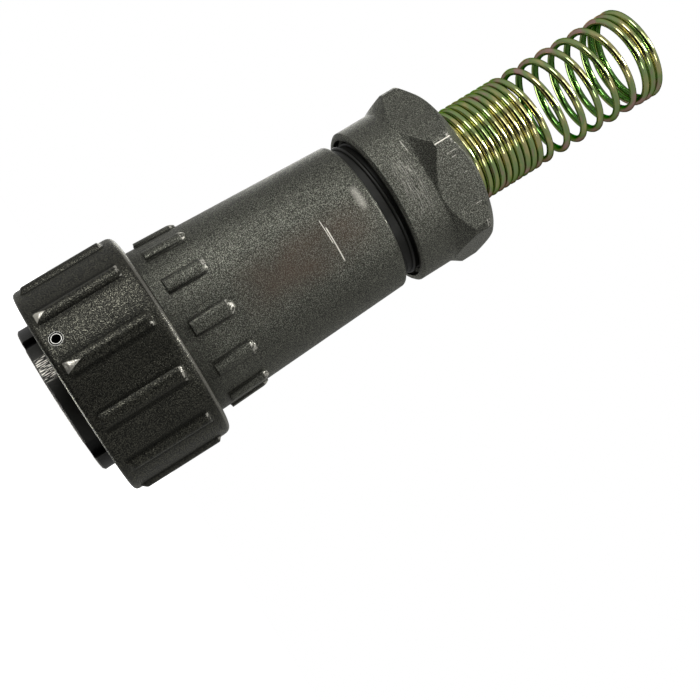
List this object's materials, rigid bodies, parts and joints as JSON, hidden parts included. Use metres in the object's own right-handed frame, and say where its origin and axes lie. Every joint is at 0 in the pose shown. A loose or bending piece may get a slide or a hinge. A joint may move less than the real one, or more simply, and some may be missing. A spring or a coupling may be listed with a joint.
{
  "type": "bayonet cable plug",
  "caption": "Circular quick-disconnect cable plug with a ribbed bayonet coupling ring, keyed shell, gold pin contacts, tapered body, hex gland nut and coil spring strain relief.",
  "frame": {"origin": "centre of the mating rim, on the plug's axis; the plug stands on this rim", "axes": "+Z along the plug's axis from the mating rim to the cable end, +X through the main keyway of the shell"},
  "size_m": [0.035, 0.035, 0.1052],
  "materials": {
    "shell_metal": "dark coating worn to bare metal on the rim",
    "ring_coat": "grained dark grey coating",
    "body_coat": "grained dark grey coating",
    "nut_coat": "grained dark grey coating",
    "insert_blue": "satin",
    "contact_gold": "gold plated",
    "pin_steel": "bright",
    "washer_steel": "plain",
    "spring_zinc": "yellow zinc",
    "seal_rubber": "matt"
  },
  "bodies": {
    "plug": {"plug_shell": "shell_metal", "shell_gasket": "seal_rubber", "contact_insert": "insert_blue", "rear_insert": "insert_blue", "insert_retaining_ring": "washer_steel", "contact_1": "contact_gold", "contact_2": "contact_gold", "contact_3": "contact_gold", "contact_4": "contact_gold", "contact_5": "contact_gold", "wave_washer": "washer_steel", "body_shell": "body_coat", "body_o_ring": "seal_rubber", "grommet_washer": "washer_steel", "cable_grommet": "seal_rubber"},
    "ring_thrust": {"thrust_washer": "washer_steel"},
    "ring": {"coupling_ring": "ring_coat", "bayonet_pin_1": "pin_steel", "bayonet_pin_2": "pin_steel", "bayonet_pin_3": "pin_steel"},
    "gland_slide": {"clamp_sleeve": "washer_steel", "strain_relief_spring": "spring_zinc"},
    "gland": {"gland_nut": "nut_coat"}
  },
  "joints": [
    {"name": "ring_press", "type": "slide", "parent": "plug", "child": "ring_thrust", "axis": [0, 0, -1], "range_m": [0, 0.00045], "stiffness_N_per_m": 20000, "springref_m": -0.0003, "deforming": ["wave_washer"]},
    {"name": "ring_turn", "type": "hinge", "parent": "ring_thrust", "child": "ring", "pos_m": [0, 0, 0.0158], "axis": [0, 0, 1], "continuous": true},
    {"name": "gland_travel", "type": "slide", "parent": "plug", "child": "gland_slide", "axis": [0, 0, 1], "range_m": [-0.00225, 0.003]},
    {"name": "gland_turn", "type": "hinge", "parent": "gland_slide", "child": "gland", "pos_m": [0, 0, 0.0619], "axis": [0, 0, 1], "range_deg": [-540, 720]}
  ],
  "couplings": [
    {"joint": "gland_turn", "follows": "gland_travel", "rad_per_m": 4188.8}
  ]
}
